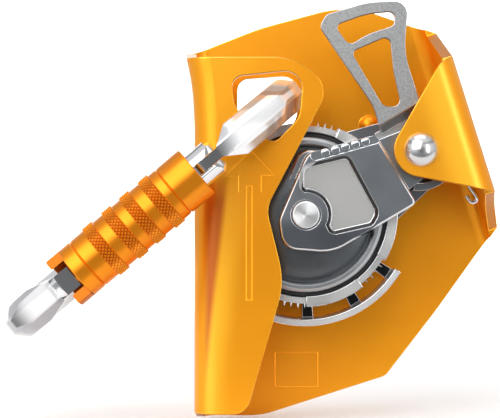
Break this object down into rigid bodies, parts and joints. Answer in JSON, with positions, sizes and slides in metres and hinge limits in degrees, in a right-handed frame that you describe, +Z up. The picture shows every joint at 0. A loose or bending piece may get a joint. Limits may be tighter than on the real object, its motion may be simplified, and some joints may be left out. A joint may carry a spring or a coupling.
{
  "type": "mobile fall arrester",
  "caption": "Folded aluminium rope grab with a toothed locking wheel on a sprung arm, a catch lever and an oval locking connector through its hole.",
  "frame": {"origin": "rope centreline, level with the locking wheel's axle, midway between the plates", "axes": "+Z up along the rope, +X from the rope towards the arm's pivot, +Y from the front flange to the back plate"},
  "size_m": [0.1436, 0.0664, 0.1208],
  "materials": {
    "anodised_orange": "anodised",
    "sleeve_orange": "anodised",
    "dark_steel": "satin",
    "satin_steel": "satin",
    "bright_steel": "polished",
    "forged_alloy": "polished",
    "spring_steel": "drawn",
    "bronze": "satin",
    "black_seal": "matt"
  },
  "bodies": {
    "frame": {"frame_shell": "anodised_orange", "arm_axle": "bright_steel", "front_washer": "satin_steel", "rear_spacer": "satin_steel", "arm_return_spring": "spring_steel"},
    "arm": {"arm_front": "dark_steel", "arm_rear": "dark_steel", "pivot_barrel": "bronze", "arm_bridge": "dark_steel", "wheel_axle": "satin_steel", "hub_cover": "dark_steel", "cover_seal": "black_seal", "thrust_washer": "bronze", "ratchet_ring": "satin_steel", "cover_dowels": "satin_steel", "wheel_guard": "bright_steel", "catch_spring": "spring_steel"},
    "wheel": {"wheel_rim": "satin_steel", "toothed_band": "satin_steel", "wheel_bush": "bronze", "pawl_pins": "satin_steel", "spring_posts": "satin_steel", "pawl_springs": "spring_steel"},
    "pawl_a": {"pawl_a": "satin_steel"},
    "pawl_b": {"pawl_b": "satin_steel"},
    "catch": {"catch_lever": "satin_steel"},
    "connector": {"connector_body": "forged_alloy"},
    "gate": {"gate": "forged_alloy", "gate_rivet": "bright_steel", "gate_plunger": "satin_steel", "gate_spring": "spring_steel"},
    "guide": {"sleeve_guide_ring": "satin_steel", "sleeve_spring": "spring_steel"},
    "sleeve": {"locking_sleeve": "sleeve_orange"}
  },
  "joints": [
    {"name": "arm_pivot", "type": "hinge", "parent": "frame", "child": "arm", "pos_m": [0.05441, 0, 0.01828], "axis": [0, -1, 0], "range_deg": [0, 20], "stiffness_Nm_per_rad": 0.12, "springref_deg": -28.65, "deforming": ["arm_return_spring"]},
    {"name": "wheel_spin", "type": "hinge", "parent": "arm", "child": "wheel", "pos_m": [0.0221, 0, 0], "axis": [0, 1, 0], "continuous": true},
    {"name": "pawl_a_swing", "type": "hinge", "parent": "wheel", "child": "pawl_a", "pos_m": [0.0326, 0, 0], "axis": [0, 1, 0], "range_deg": [0, 16], "stiffness_Nm_per_rad": 0.004, "springref_deg": -11.46, "deforming": ["pawl_springs"]},
    {"name": "pawl_b_swing", "type": "hinge", "parent": "wheel", "child": "pawl_b", "pos_m": [0.0116, 0, 0], "axis": [0, 1, 0], "range_deg": [0, 16], "stiffness_Nm_per_rad": 0.004, "springref_deg": -11.46},
    {"name": "catch_press", "type": "hinge", "parent": "arm", "child": "catch", "pos_m": [0.05441, 0, 0.01828], "axis": [0, 1, 0], "range_deg": [-6, 0], "stiffness_Nm_per_rad": 0.05, "springref_deg": 11.46, "deforming": ["catch_spring"]},
    {"name": "connector_swing", "type": "hinge", "parent": "frame", "child": "connector", "pos_m": [0.0148, 0, 0.0328], "axis": [0, -1, 0], "range_deg": [-60, 25]},
    {"name": "gate_swing", "type": "hinge", "parent": "connector", "child": "gate", "pos_m": [-0.00649, -0.02699, 0.01354], "axis": [-0.6452, -0.0279, 0.7635], "range_deg": [-22, 0], "stiffness_Nm_per_rad": 0.03, "springref_deg": 17.19, "deforming": ["gate_spring"]},
    {"name": "sleeve_lift", "type": "slide", "parent": "gate", "child": "guide", "axis": [0.7638, 0, 0.6455], "range_m": [0, 0.005], "stiffness_N_per_m": 300, "springref_m": -0.003, "deforming": ["sleeve_spring"]},
    {"name": "sleeve_twist", "type": "hinge", "parent": "guide", "child": "sleeve", "pos_m": [-0.02085, -0.02699, 0.0014], "axis": [0.7638, 0, 0.6455], "range_deg": [0, 90], "stiffness_Nm_per_rad": 0.02, "springref_deg": -11.46}
  ],
  "couplings": [
    {"joint": "pawl_b_swing", "follows": "pawl_a_swing", "ratio": 1}
  ]
}
